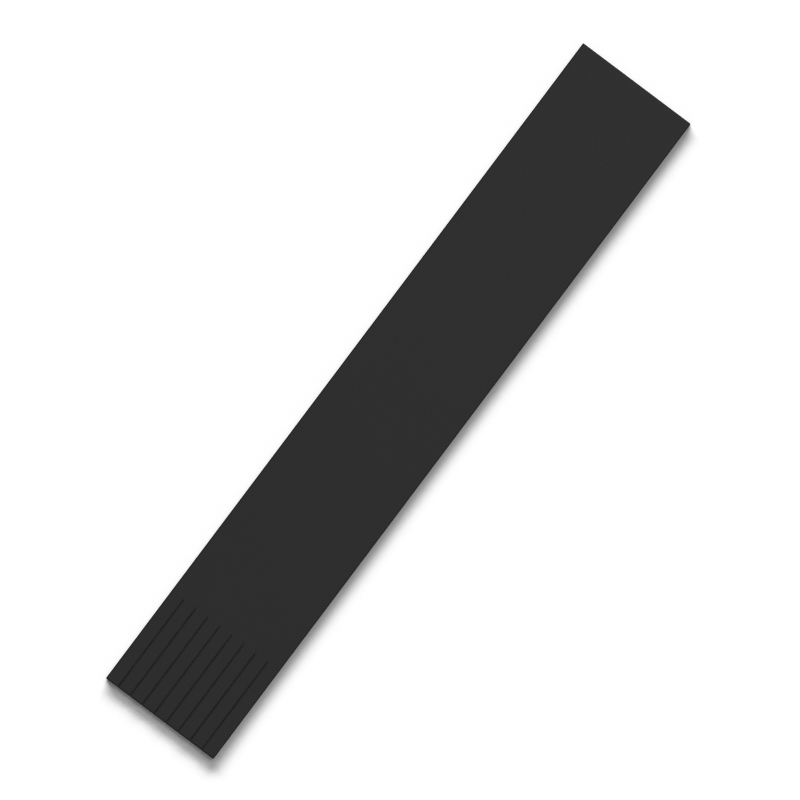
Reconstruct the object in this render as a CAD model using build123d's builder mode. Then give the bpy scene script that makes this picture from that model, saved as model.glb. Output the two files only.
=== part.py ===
from build123d import *

import os

# A fringed leather bookmark, lying flat. Millimetres.
# X runs across the strip, Y along it with the plain end at +Y and the fringe at -Y,
# and Z up. The origin is under the strip's centre, on the face that it rests on.

strip_length = 225.0
strip_width = 38.0

# The leather is a laminate: a fibre core with a thin finish coat on its upper face.
core_thickness = 0.9
finish_thickness = 0.1
pressed_edge = 0.06  # radius that the cutting rule leaves on the coat's cut edges

# The strip flexes between stiff panels, numbered from the plain end. The middle one is
# the root, and each other panel carries the bend zone on its side towards the middle.
panel_count = 9
bend_length = 12.0

# The fringe: strands side by side, each flexing over a short root at the slits' end.
strand_count = 9
slit_length = 31.5
slit_gap = 0.1
root_length = 12.0

plain_end_y = strip_length / 2
fringe_tip_y = -strip_length / 2
slit_end_y = fringe_tip_y + slit_length
middle_panel = (panel_count + 1) // 2
bend_count = panel_count - 1
panel_length = (plain_end_y - slit_end_y - bend_count * bend_length) / panel_count
strand_pitch = (strip_width + slit_gap) / strand_count
strand_width = strand_pitch - slit_gap

# Each layer: height of its lower face, thickness, radius on its upper cut edges.
core = (0.0, core_thickness, 0.0)
finish = (core_thickness, finish_thickness, pressed_edge)

os.makedirs("parts", exist_ok=True)


def leather_piece(name, layer, middle_x, width, high_y, low_y, cut_end=None):
    """One layer of one stretch of leather, from high_y down to low_y.

    Its long sides are cut edges. cut_end is the sort_by index of the end that is one
    too: -1 for the end at high_y, 0 for the end at low_y, None for neither.
    """
    base_z, thickness, radius = layer
    with BuildPart() as piece:
        with BuildSketch(Plane.XY.offset(base_z)):
            with Locations((middle_x, (high_y + low_y) / 2)):
                Rectangle(width, high_y - low_y)
        extrude(amount=thickness)
        if radius:
            upper_edges = piece.edges().group_by(Axis.Z)[-1]
            cut_edges = upper_edges.filter_by(Axis.Y)
            if cut_end is not None:
                cut_edges += upper_edges.filter_by(Axis.X).sort_by(Axis.Y)[cut_end]
            fillet(cut_edges, radius)
    piece.part.label = name
    export_step(piece.part, f"parts/{name}.step")


# Panels and the bend zones between them, from the plain end to the fringe. The finish
# coat runs unbroken over a panel and its bend zone.
for number in range(1, panel_count + 1):
    panel_high_y = plain_end_y - (number - 1) * (panel_length + bend_length)
    panel_low_y = panel_high_y - panel_length
    coat_high_y = panel_high_y + bend_length if number > middle_panel else panel_high_y
    coat_low_y = panel_low_y - bend_length if number < middle_panel else panel_low_y
    coat_cut_end = -1 if number == 1 else None
    leather_piece(f"panel_{number}_core", core, 0.0, strip_width, panel_high_y, panel_low_y)
    leather_piece(f"panel_{number}_finish", finish, 0.0, strip_width, coat_high_y, coat_low_y, coat_cut_end)
    if number <= bend_count:
        bend_low_y = panel_low_y - bend_length
        leather_piece(f"bend_{number}_core", core, 0.0, strip_width, panel_low_y, bend_low_y)

# Strands of the fringe, from -X to +X, each with the root that it flexes over
root_low_y = slit_end_y - root_length
for number in range(1, strand_count + 1):
    strand_x = (number - (strand_count + 1) / 2) * strand_pitch
    leather_piece(f"strand_{number}_root_core", core, strand_x, strand_width, slit_end_y, root_low_y)
    leather_piece(f"strand_{number}_core", core, strand_x, strand_width, root_low_y, fringe_tip_y)
    leather_piece(f"strand_{number}_finish", finish, strand_x, strand_width, slit_end_y, fringe_tip_y, 0)
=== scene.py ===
import math
import bpy
import numpy as np
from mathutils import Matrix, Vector


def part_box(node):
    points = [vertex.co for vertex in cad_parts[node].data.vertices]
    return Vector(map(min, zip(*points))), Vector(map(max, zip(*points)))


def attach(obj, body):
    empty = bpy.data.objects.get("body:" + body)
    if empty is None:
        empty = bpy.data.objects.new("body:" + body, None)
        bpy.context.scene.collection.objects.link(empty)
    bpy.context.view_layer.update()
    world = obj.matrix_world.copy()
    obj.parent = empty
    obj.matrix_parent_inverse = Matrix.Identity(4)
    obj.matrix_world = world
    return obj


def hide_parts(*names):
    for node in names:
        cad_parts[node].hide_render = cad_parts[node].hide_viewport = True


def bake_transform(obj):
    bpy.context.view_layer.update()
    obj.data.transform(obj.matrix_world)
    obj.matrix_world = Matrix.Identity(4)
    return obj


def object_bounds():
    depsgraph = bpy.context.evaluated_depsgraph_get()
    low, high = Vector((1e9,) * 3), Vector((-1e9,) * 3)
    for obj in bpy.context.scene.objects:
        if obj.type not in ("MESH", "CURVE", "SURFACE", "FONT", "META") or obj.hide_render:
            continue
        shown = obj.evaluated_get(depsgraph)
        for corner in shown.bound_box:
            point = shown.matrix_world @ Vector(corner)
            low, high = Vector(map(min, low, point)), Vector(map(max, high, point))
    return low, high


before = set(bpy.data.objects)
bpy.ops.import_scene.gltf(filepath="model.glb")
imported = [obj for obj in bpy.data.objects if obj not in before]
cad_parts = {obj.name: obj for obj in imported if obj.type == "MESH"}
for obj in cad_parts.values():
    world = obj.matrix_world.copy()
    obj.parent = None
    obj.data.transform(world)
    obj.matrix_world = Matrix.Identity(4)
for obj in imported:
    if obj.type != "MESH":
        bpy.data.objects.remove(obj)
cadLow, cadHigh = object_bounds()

mm = 0.001
print("frame loaded,", len(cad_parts), "nodes")


cameraSetup = {
    "lens": 135.0,
    "viewWidth": 226.9 * mm,  # width of the floor that the view takes in
    "turn": math.radians(36.93),  # the strip lies aslant, its plain end to the upper right
    "aim": (0.21 * mm, 0.52 * mm),  # where the view's middle is, seen from the strip's centre
}


def makeCamera(setup):
    data = bpy.data.cameras.new("camera")
    data.lens = setup["lens"]
    camera = bpy.data.objects.new("camera", data)
    bpy.context.scene.collection.objects.link(camera)
    distance = setup["viewWidth"] * data.lens / data.sensor_width
    middle = (cadLow + cadHigh) / 2
    camera.location = (middle.x + setup["aim"][0], middle.y + setup["aim"][1], distance)
    camera.rotation_euler = (0, 0, setup["turn"])
    bpy.context.scene.camera = camera


makeCamera(cameraSetup)
print("camera made")


class Wire:
    # a socket that takes part in sums, each of which adds a Math node
    def __init__(self, shader, socket):
        self.shader = shader
        self.socket = socket

    def maths(self, operation, first, second):
        return self.shader.node("ShaderNodeMath", {"operation": operation}, {0: first, 1: second})

    def __add__(self, other):
        return self.maths("ADD", self, other)

    def __sub__(self, other):
        return self.maths("SUBTRACT", self, other)

    def __mul__(self, other):
        return self.maths("MULTIPLY", self, other)

    def __rsub__(self, other):
        return self.maths("SUBTRACT", other, self)

    def __pow__(self, other):
        return self.maths("POWER", self, other)

    __radd__ = __add__
    __rmul__ = __mul__


class Shader:
    def __init__(self, tree):
        self.tree = tree
        tree.nodes.clear()

    def node(self, kind, settings=None, sockets=None, output=0):
        made = self.tree.nodes.new(kind)
        for name, value in (settings or {}).items():
            if name == "stops":
                ramp = made.color_ramp
                while len(ramp.elements) < len(value):
                    ramp.elements.new(0.5)
                for element, (place, level) in zip(ramp.elements, value):
                    element.position = place
                    element.color = (level, level, level, 1)
            else:
                setattr(made, name, value)
        for name, value in (sockets or {}).items():
            if isinstance(value, Wire):
                self.tree.links.new(value.socket, made.inputs[name])
            else:
                made.inputs[name].default_value = value
        return Wire(self, made.outputs[output] if made.outputs else None)

    def noise(self, place, size, detail=2.0, roughness=0.5):
        return self.node(
            "ShaderNodeTexNoise", {"noise_dimensions": "3D"},
            {"Vector": place, "Scale": 1 / size, "Detail": detail, "Roughness": roughness},
        )

    def stretched(self, place, stretch):
        return self.node("ShaderNodeVectorMath", {"operation": "MULTIPLY"}, {0: place, 1: stretch})

    def wandering(self, place, size, reach, detail=2.0):
        # the place, shifted a little one way and another
        shift = self.noise(place, size, detail)
        return self.node(
            "ShaderNodeVectorMath", {"operation": "MULTIPLY_ADD"},
            {0: shift, 1: (reach, reach, 0.0), 2: place},
        )

    def ramp(self, value, stops):
        made = self.node("ShaderNodeValToRGB", {"stops": stops}, {"Fac": value})
        made.socket.node.color_ramp.interpolation = "EASE"
        return made

    def blend(self, factor, first, second):
        return self.node(
            "ShaderNodeMix", {"data_type": "RGBA"}, {0: factor, 6: first, 7: second}, output=2
        )


def newMaterial(name):
    material = bpy.data.materials.new(name)
    material.use_nodes = True
    return material, Shader(material.node_tree)


def colour(level, warmth=0.0):
    return (level * (1 + warmth), level, level * (1 - warmth), 1)


# sizes and depths of the coat's grain in mm
coatLook = {
    # the crease and pressed tones are painted shade: darker in the grain's creases and along cut edges
    # and slits
    "tone": 0.0234, "creaseShadeTone": 0.0197, "pressedShadeTone": 0.0100, "wornTone": 0.040,
    "grain": 0.62, "grainDepth": 0.018, "grainScatter": 0.92,
    "wander": 2.4, "wanderReach": 0.5,  # how the rows of grains wander
    "pore": 0.16, "poreDepth": 0.006,
    "drift": 3.2, "driftDepth": 0.012,
    "patch": 26.0, "patchShare": 0.3, "patchLight": 1.3, "patchRoughness": 0.06,
    "scuff": 1.7, "wornShare": 0.7, "wornFall": 14.0, "wornWarmth": 0.03,
    "pressedFlat": 0.8,  # share of the relief that the cutting rule takes away
    "roughness": 0.54, "creaseRoughness": 0.72,
    "specular": 0.4, "ior": 1.42,
}


def makeCoat(look):
    material, shader = newMaterial("finishCoat")
    place = shader.node("ShaderNodeAttribute", {"attribute_name": "restPlace"}, output="Vector")
    edge = shader.node("ShaderNodeAttribute", {"attribute_name": "cutEdge"}, output="Fac")
    wandered = shader.wandering(place, look["wander"], look["wanderReach"], detail=1)
    cells = shader.node(
        "ShaderNodeTexVoronoi", {"feature": "DISTANCE_TO_EDGE", "voronoi_dimensions": "2D"},
        {"Vector": wandered, "Scale": 1 / look["grain"], "Randomness": look["grainScatter"]},
    )
    pebble = shader.ramp(cells, [(0.0, 0.0), (0.16, 0.72), (0.45, 1.0)])
    pores = shader.noise(place, look["pore"], detail=3, roughness=0.6)
    drift = shader.noise(place, look["drift"])
    patches = shader.noise(place, look["patch"], detail=3, roughness=0.55)
    pressedAndShaded = shader.ramp(edge, [(0.35, 0.0), (1.0, 1.0)])  # the cutting rule closes the grain, and the same band is painted darker as painted shade along cut edges and slits
    scuffs = shader.ramp(shader.noise(place, look["scuff"], detail=3), [(0.45, 0.0), (0.72, 1.0)])
    worn = scuffs * edge ** look["wornFall"]
    relief = pebble * look["grainDepth"] * (1 - pressedAndShaded * look["pressedFlat"]) + pores * look["poreDepth"]
    height = relief + drift * look["driftDepth"]
    bump = shader.node("ShaderNodeBump", sockets={"Strength": 1.0, "Distance": mm, "Height": height})
    # painted shade: the coat is darker in the creases between grains
    creaseShaded = shader.blend(pebble, colour(look["creaseShadeTone"]), colour(look["tone"]))
    light = colour(look["tone"] * look["patchLight"])
    mottled = shader.blend(patches * look["patchShare"], creaseShaded, light)
    # painted shade: the coat is darkened along cut edges and slits, where the rolled-down edge falls into
    # shade
    edgeShaded = shader.blend(pressedAndShaded, mottled, colour(look["pressedShadeTone"]))
    body = shader.blend(worn * look["wornShare"], edgeShaded, colour(look["wornTone"], look["wornWarmth"]))
    rough = look["creaseRoughness"] - pebble * (look["creaseRoughness"] - look["roughness"])
    surface = shader.node(
        "ShaderNodeBsdfPrincipled",
        sockets={
            "Base Color": body, "Roughness": rough + patches * look["patchRoughness"], "Normal": bump,
            "IOR": look["ior"], "Specular IOR Level": look["specular"],
        },
    )
    shader.node("ShaderNodeOutputMaterial", sockets={"Surface": surface})
    return material


# sizes and depths of the core's fibres in mm
coreLook = {
    "backTone": 0.030, "backWarmth": 0.015, "fibreTone": 0.052, "fibreWarmth": 0.02,
    "cutTone": 0.036, "cutDark": 0.7, "cutLight": 1.6, "cutWarmth": 0.02,
    "wander": 1.6, "wanderReach": 0.9,  # how the fibres wander
    "fibre": 0.16, "fibreStretch": (1.0, 0.22, 1.0), "fibreDepth": 0.03,
    "felt": 0.45, "feltRoughness": 0.1,
    "patch": 9.0, "patchShare": 0.4, "patchDark": 0.8, "patchWarmth": 0.01,
    "layer": 0.35, "layerStretch": (0.3, 0.3, 3.2), "cutDepth": 0.05,
    "bumpStrength": 0.8,
    "roughness": 0.88, "specular": 0.25, "ior": 1.4, "sheen": 0.15, "sheenRoughness": 0.5,
}


def makeCore(look):
    material, shader = newMaterial("fibreCore")
    place = shader.node("ShaderNodeAttribute", {"attribute_name": "restPlace"}, output="Vector")
    edge = shader.node("ShaderNodeAttribute", {"attribute_name": "cutEdge"}, output="Fac")
    wandered = shader.wandering(place, look["wander"], look["wanderReach"])
    along = shader.stretched(wandered, look["fibreStretch"])
    fibres = shader.noise(along, look["fibre"], detail=4, roughness=0.65)
    felt = shader.noise(place, look["felt"], detail=4, roughness=0.6)
    patches = shader.noise(place, look["patch"], detail=3)
    flat = shader.stretched(place, look["layerStretch"])
    layers = shader.noise(flat, look["layer"], detail=4, roughness=0.7)
    backHeight = (fibres + felt) * look["fibreDepth"]
    height = backHeight * (1 - edge) + layers * look["cutDepth"] * edge
    bump = shader.node(
        "ShaderNodeBump", sockets={"Strength": look["bumpStrength"], "Distance": mm, "Height": height}
    )
    back = shader.blend(
        shader.ramp(fibres, [(0.38, 0.0), (0.66, 1.0)]),
        colour(look["backTone"], look["backWarmth"]), colour(look["fibreTone"], look["fibreWarmth"]),
    )
    dark = colour(look["backTone"] * look["patchDark"], look["patchWarmth"])
    blotched = shader.blend(patches * look["patchShare"], back, dark)
    cut = shader.blend(
        layers,
        colour(look["cutTone"] * look["cutDark"], look["cutWarmth"]),
        colour(look["cutTone"] * look["cutLight"], look["cutWarmth"]),
    )
    surface = shader.node(
        "ShaderNodeBsdfPrincipled",
        sockets={
            "Base Color": shader.blend(edge, blotched, cut),
            "Roughness": felt * look["feltRoughness"] + look["roughness"],
            "Normal": bump, "IOR": look["ior"], "Specular IOR Level": look["specular"],
            "Sheen Weight": look["sheen"], "Sheen Roughness": look["sheenRoughness"],
        },
    )
    shader.node("ShaderNodeOutputMaterial", sockets={"Surface": surface})
    return material


def makePaper(setup):
    material, shader = newMaterial("floorPaper")
    surface = shader.node(
        "ShaderNodeBsdfPrincipled",
        sockets={"Base Color": colour(setup["bounce"]), "Roughness": setup["roughness"]},
    )
    shader.node("ShaderNodeOutputMaterial", sockets={"Surface": surface})
    return material


coat = makeCoat(coatLook)
core = makeCore(coreLook)
print("materials made")


floorSetup = {
    "reach": 3.0, "drop": 0.02 * mm,
    # how far inside the strip's sides, fringe and plain end the opening stays
    "inset": {"sides": 0.06 * mm, "fringe": 3.0 * mm, "plainEnd": 0.06 * mm},
    "bounce": 0.12, "roughness": 0.9,  # little bounce, because its own lamps are strong
}


def makeFloor(setup):
    # it shows only the shadows that fall on it, and is open under the strip, so that an end
    # that bends down below it stays in sight
    reach = setup["reach"]
    inset = setup["inset"]
    left, right = cadLow.x + inset["sides"], cadHigh.x - inset["sides"]
    near, far = cadLow.y + inset["fringe"], cadHigh.y - inset["plainEnd"]
    corners = [(-reach, -reach), (reach, -reach), (reach, reach), (-reach, reach)]
    corners += [(left, near), (right, near), (right, far), (left, far)]
    mesh = bpy.data.meshes.new("floor")
    mesh.from_pydata(
        [(x, y, -setup["drop"]) for x, y in corners], [],
        [(0, 1, 5, 4), (1, 2, 6, 5), (2, 3, 7, 6), (3, 0, 4, 7)],
    )
    mesh.materials.append(makePaper(setup))
    floor = bpy.data.objects.new("floor", mesh)
    bpy.context.scene.collection.objects.link(floor)
    floor.is_shadow_catcher = True
    return floor


floor = makeFloor(floorSetup)

# bearing and height in degrees, distance and size in metres, power in watts
lights = {
    "lowSoftbox": {
        "bearing": 130, "height": 11.7, "distance": 3.0, "size": (2.93, 0.33),
        "power": 790, "floorOnly": True,
    },
    "wallSoftbox": {
        "bearing": 130, "height": 28, "distance": 3.0, "size": (2.93, 1.44),
        "power": 32, "floorOnly": True,
    },
    "mainSoftbox": {
        "bearing": 80, "height": 39, "distance": 5.0, "size": (3.62, 2.19),
        "power": 117, "floorOnly": False,
    },
}
sky = {"shed": 0.44, "seen": 1.0}


def makeLight(name, setup):
    data = bpy.data.lights.new(name, "AREA")
    data.shape = "RECTANGLE"
    data.size, data.size_y = setup["size"]
    data.energy = setup["power"]
    light = bpy.data.objects.new(name, data)
    bpy.context.scene.collection.objects.link(light)
    bearing, height = math.radians(setup["bearing"]), math.radians(setup["height"])
    towards = Vector((
        math.cos(bearing) * math.cos(height), math.sin(bearing) * math.cos(height), math.sin(height),
    ))
    light.location = towards * setup["distance"]
    light.rotation_euler = towards.to_track_quat("Z", "Y").to_euler()
    light.visible_camera = False
    if setup["floorOnly"]:
        lit = bpy.data.collections.new(name + "Lights")
        lit.objects.link(floor)
        light.light_linking.receiver_collection = lit


def makeSky(setup):
    # the view's background is white, and what the sky sheds is softer
    world = bpy.data.worlds.new("studio")
    bpy.context.scene.world = world
    world.use_nodes = True
    shader = Shader(world.node_tree)
    white = colour(1.0)
    seen = shader.node("ShaderNodeLightPath", output="Is Camera Ray")
    shed = shader.node("ShaderNodeBackground", sockets={"Color": white, "Strength": setup["shed"]})
    shown = shader.node("ShaderNodeBackground", sockets={"Color": white, "Strength": setup["seen"]})
    both = shader.node("ShaderNodeMixShader", sockets={0: seen, 1: shed, 2: shown})
    shader.node("ShaderNodeOutputWorld", sockets={"Surface": both})
    bpy.context.scene.view_settings.view_transform = "Standard"


for lightName, lightSetup in lights.items():
    makeLight(lightName, lightSetup)
makeSky(sky)
print("floor and lights made")


leather = {
    "coatStep": 0.3, "coreStep": 0.6,  # spacing of each layer's rows and columns, mm
    "edgePlaces": [0.0, 0.012, 0.04, 0.09, 0.16, 0.26, 0.38],  # mm in from a cut edge
    "pressReach": 0.48, "pressDepth": 0.12,  # mm, how a cut edge is rolled down
    "grain": 1.15, "grainDepth": 0.015,  # mm
    "grainSlope": 0.5,  # share of a grain's size over which its side rises
    "wave": 34.0, "waveDepth": 0.03,  # mm
    "nap": 0.9, "napDepth": 0.02,  # mm, the felted back
    "fray": 0.016, "tuft": 0.5,  # mm, how uneven the fibres stand at a cut, and how wide a tuft is
    "tuftRise": 3.0,  # mm, sets one wall row's tufts apart from the next row's
    "wearAndShadeReach": 0.7,  # mm in from a cut edge, over which the coat is worn and painted darker with shade
    "liftCurve": 2.0, "leanCurve": 1.5,  # powers by which a strand curls up and leans towards its tip
    "slitRunOut": 0.9,  # mm, over which a slit comes to nothing
    "slitOpening": 0.07,  # mm that each strand is narrower at its tip, beside a slit
    "slitFoot": 0.012,  # mm from a slit's middle to the fibres at its foot
    "slitLean": 0.042,  # mm that a slit's foot lies to the left of its top, past the slit's own side
    "wallRows": {"coat": 1, "core": 5},
    "smoothUpTo": 38,  # degrees between faces that still shade as one
    "seeds": {"grain": 3, "wave": 5, "nap": 8, "fray": 11},
}
seeds = leather["seeds"]
slitHalf = (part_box("strand_2_core")[0].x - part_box("strand_1_core")[1].x) / 2 / mm
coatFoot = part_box("panel_1_finish")[0].z / mm - leather["waveDepth"]
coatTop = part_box("panel_1_finish")[1].z / mm - leather["waveDepth"]


def cloud(x, y, size, seed, tableSize=64):
    # smooth random heights from 0 to 1, about this size across
    table = np.random.default_rng(seed).random((tableSize, tableSize))
    u, v = x / size, y / size
    i, j = np.floor(u).astype(int), np.floor(v).astype(int)
    fu, fv = u - i, v - j
    fu, fv = fu * fu * (3 - 2 * fu), fv * fv * (3 - 2 * fv)

    def level(a, b):
        return table[a % tableSize, b % tableSize]

    low = level(i, j) * (1 - fu) + level(i + 1, j) * fu
    high = level(i, j + 1) * (1 - fu) + level(i + 1, j + 1) * fu
    return low * (1 - fv) + high * fv


def pebbles(x, y, size, seed, tableSize=64):
    # 0 in the creases between grains, 1 on top of them
    table = np.random.default_rng(seed).random((tableSize, tableSize, 2))
    i, j = np.floor(x / size).astype(int), np.floor(y / size).astype(int)
    nearest = np.full(x.shape, 9.0)
    second = np.full(x.shape, 9.0)
    for di in (-1, 0, 1):
        for dj in (-1, 0, 1):
            spot = table[(i + di) % tableSize, (j + dj) % tableSize]
            away = np.hypot(x / size - i - di - spot[..., 0], y / size - j - dj - spot[..., 1])
            second = np.minimum(second, np.maximum(nearest, away))
            nearest = np.minimum(nearest, away)
    rise = np.clip((second - nearest) / leather["grainSlope"], 0, 1)
    return rise * rise * (3 - 2 * rise)


def places(low, high, step, cutLow, cutHigh):
    # even places from low to high, with closer ones beside each cut edge
    close = leather["edgePlaces"]
    start = low + close[-1] if cutLow else low
    stop = high - close[-1] if cutHigh else high
    even = np.linspace(start, stop, max(2, round((stop - start) / step) + 1))
    before = [low + d for d in close[:-1]] if cutLow else []
    after = [high - d for d in reversed(close[:-1])] if cutHigh else []
    return np.concatenate([before, even, after])


class Stretch:
    # rows and columns over one stretch of leather, in mm, with what its cut edges do to it
    # edges says what each side is: "cut", "slit", or "seam" where the leather runs on
    def __init__(self, low, high, edges, step, lie):
        self.edges = edges
        xs = places(low[0], high[0], step, edges["left"] != "seam", edges["right"] != "seam")
        ys = places(low[1], high[1], step, edges["low"] != "seam", edges["high"] != "seam")
        self.x, self.y = np.meshgrid(xs, ys)
        self.rise = cloud(self.x, self.y, leather["wave"], seeds["wave"]) * leather["waveDepth"]
        self.free = np.clip((high[1] - self.y) / leather["slitRunOut"], 0, 1)
        away = {
            "left": self.x - low[0], "right": high[0] - self.x,
            "low": self.y - low[1], "high": high[1] - self.y,
        }
        self.press = np.zeros(self.x.shape)
        self.wearAndShade = np.zeros(self.x.shape)
        for side, kind in edges.items():
            if kind == "seam":
                continue
            share = self.free if kind == "slit" else 1.0
            inside = np.clip(1 - away[side] / leather["pressReach"], 0, 1)
            roll = leather["pressDepth"] * (1 - np.sqrt(1 - inside * inside))
            # this band sets both the coat's wear at a cut edge and its painted shade along cut edges and
            # slits
            rubbedAndShaded = np.clip(1 - away[side] / leather["wearAndShadeReach"], 0, 1)
            self.press = np.maximum(self.press, roll * share)
            self.wearAndShade = np.maximum(self.wearAndShade, rubbedAndShaded * share)
        self.spread = np.zeros(self.x.shape)  # how far a side's foot stands off its top
        if lie:
            out = np.clip((high[1] - self.y) / (high[1] - low[1]), 0, 1)
            across = (self.x - (low[0] + high[0]) / 2) / (high[0] - low[0])
            lift = lie["lift"] * out ** leather["liftCurve"]
            self.rise = self.rise + lift + lie["lean"] * across * out ** leather["leanCurve"]
            for side, towards in (("left", 1), ("right", -1)):
                if edges[side] != "slit":
                    continue
                beside = np.clip(1 - away[side] / leather["pressReach"], 0, 1)
                opening = leather["slitOpening"] * out
                self.x = self.x + towards * opening * beside
                foot = slitHalf + opening - leather["slitFoot"]
                lean = slitHalf + opening + leather["slitLean"]
                self.spread = self.spread - (towards * foot + lean) * beside


def slabPiece(name, stretch, lower, upper, spread, wallRows, fray, material):
    # a closed slab between two height maps over the same rows and columns
    rows, columns = stretch.x.shape
    count = rows * columns
    top = np.stack([stretch.x, stretch.y, upper], -1).reshape(-1, 3)
    bottom = np.stack([stretch.x + spread, stretch.y, lower], -1).reshape(-1, 3)
    index = np.arange(count).reshape(rows, columns)
    a, b = index[:-1, :-1].ravel(), index[:-1, 1:].ravel()
    c, d = index[1:, 1:].ravel(), index[1:, :-1].ravel()
    faces = [np.stack([a, b, c, d], -1), np.stack([a, d, c, b], -1) + count]
    ring = np.concatenate([index[0, :-1], index[:-1, -1], index[-1, :0:-1], index[:0:-1, 0]])
    onSide = {
        "left": np.isin(ring, index[:, 0]), "right": np.isin(ring, index[:, -1]),
        "low": np.isin(ring, index[0]), "high": np.isin(ring, index[-1]),
    }
    outward = {"left": (-1, 0), "right": (1, 0), "low": (0, -1), "high": (0, 1)}
    push = np.zeros((len(ring), 3))
    for side, (outX, outY) in outward.items():
        push[onSide[side], 0] += outX
        push[onSide[side], 1] += outY
    for side, kind in stretch.edges.items():
        if kind == "seam":
            push[onSide[side]] = 0  # the leather runs on, so nothing frays there
    levels = [ring]
    points = [top, bottom]
    wearAndShade = [stretch.wearAndShade.ravel(), np.zeros(count)]
    for row in range(1, wallRows + 1):
        share = row / (wallRows + 1)
        wall = top[ring] * (1 - share) + bottom[ring] * share
        along = wall[:, 0] + wall[:, 1]
        down = np.full(len(ring), share * leather["tuftRise"])
        ragged = cloud(along, down, leather["tuft"], seeds["fray"] + row) - 0.5
        points.append(wall + push * ragged[:, None] * fray)
        levels.append(count * 2 + (row - 1) * len(ring) + np.arange(len(ring)))
        wearAndShade.append(np.ones(len(ring)))
    levels.append(ring + count)
    for above, below in zip(levels, levels[1:]):
        faces.append(np.stack([above, below, np.roll(below, -1), np.roll(above, -1)], -1))
    points = np.concatenate(points)
    mesh = bpy.data.meshes.new(name)
    mesh.from_pydata((points * mm).tolist(), [], np.concatenate(faces).tolist())
    rest = mesh.attributes.new("restPlace", "FLOAT_VECTOR", "POINT")
    rest.data.foreach_set("vector", points.astype(np.float32).ravel())
    edge = mesh.attributes.new("cutEdge", "FLOAT", "POINT")
    edge.data.foreach_set("value", np.concatenate(wearAndShade).astype(np.float32))
    mesh.shade_smooth()
    mesh.set_sharp_from_angle(angle=math.radians(leather["smoothUpTo"]))
    mesh.materials.append(material)
    piece = bpy.data.objects.new(name, mesh)
    bpy.context.scene.collection.objects.link(piece)
    return piece


def makeLayers(name, stems, edges, lie=None):
    # the finish coat and the fibre core of one stretch, in place of the CAD nodes that these stems name
    boxes = [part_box(stem + "_core") for stem in stems]
    low = [min(box[0][k] for box in boxes) / mm for k in (0, 1)]
    high = [max(box[1][k] for box in boxes) / mm for k in (0, 1)]
    fine = Stretch(low, high, edges, leather["coatStep"], lie)
    coarse = Stretch(low, high, edges, leather["coreStep"], lie)
    grain = (pebbles(fine.x, fine.y, leather["grain"], seeds["grain"]) - 1) * leather["grainDepth"]
    coatPiece = slabPiece(
        name + "_coat", fine, coatFoot + fine.rise - fine.press, coatTop + fine.rise - fine.press + grain,
        0, leather["wallRows"]["coat"], 0, coat,
    )
    nap = cloud(coarse.x, coarse.y, leather["nap"], seeds["nap"]) * leather["napDepth"]
    corePiece = slabPiece(
        name + "_fibre", coarse, coarse.rise + nap, coatFoot + coarse.rise - coarse.press,
        coarse.spread, leather["wallRows"]["core"], leather["fray"], core,
    )
    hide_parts(stems[0] + "_finish")
    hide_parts(*[stem + "_core" for stem in stems])
    return coatPiece, corePiece


def bendAcross(pieces, zone, body):
    # bakes each piece's placement into its mesh
    bodyMiddle = sum((Vector(corner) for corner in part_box(body + "_core")), Vector()) / 2
    for piece in pieces:
        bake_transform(piece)


# how each strand lies, from -X to +X: how far its tip stands up, and how much it leans, in mm
strandLies = [
    {"lift": 0.10, "lean": 0.06}, {"lift": 0.04, "lean": -0.05}, {"lift": 0.12, "lean": 0.04},
    {"lift": 0.03, "lean": 0.06}, {"lift": 0.09, "lean": -0.07}, {"lift": 0.04, "lean": 0.03},
    {"lift": 0.12, "lean": -0.06}, {"lift": 0.06, "lean": 0.05}, {"lift": 0.14, "lean": -0.04},
]
fringe = []
for number, lie in enumerate(strandLies, 1):
    strand = f"strand_{number}"
    edges = {
        "left": "cut" if number == 1 else "slit",
        "right": "cut" if number == len(strandLies) else "slit",
        "low": "cut", "high": "seam",
    }
    made = makeLayers("leather_" + strand, [strand, strand + "_root"], edges, lie)
    bendAcross(made, strand + "_root_core", strand)
    fringe += made
print("fringe made,", len(fringe), "pieces")

# each stretch of the strip, from the plain end: its bend zone and the panel that it bends from
stretches = {
    "panel_1": {"zone": "bend_1", "bendsFrom": "panel_2", "far": "cut", "fringe": []},
    "panel_2": {"zone": "bend_2", "bendsFrom": "panel_3", "far": "seam", "fringe": []},
    "panel_3": {"zone": "bend_3", "bendsFrom": "panel_4", "far": "seam", "fringe": []},
    "panel_4": {"zone": "bend_4", "bendsFrom": "panel_5", "far": "seam", "fringe": []},
    "panel_5": {"zone": None, "bendsFrom": None, "far": "seam", "fringe": []},
    "panel_6": {"zone": "bend_5", "bendsFrom": "panel_5", "far": "seam", "fringe": []},
    "panel_7": {"zone": "bend_6", "bendsFrom": "panel_6", "far": "seam", "fringe": []},
    "panel_8": {"zone": "bend_7", "bendsFrom": "panel_7", "far": "seam", "fringe": []},
    "panel_9": {"zone": "bend_8", "bendsFrom": "panel_8", "far": "seam", "fringe": fringe},
}
for panel, setup in stretches.items():
    stems = [panel, setup["zone"]] if setup["zone"] else [panel]
    edges = {"left": "cut", "right": "cut", "low": "seam", "high": setup["far"]}
    made = makeLayers("leather_" + panel, stems, edges)
    if setup["zone"]:
        bendAcross(made, setup["zone"] + "_core", panel)
    else:
        for piece in made:
            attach(piece, panel)
    boxes = [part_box(stem + "_core") for stem in stems]
print("strip made")
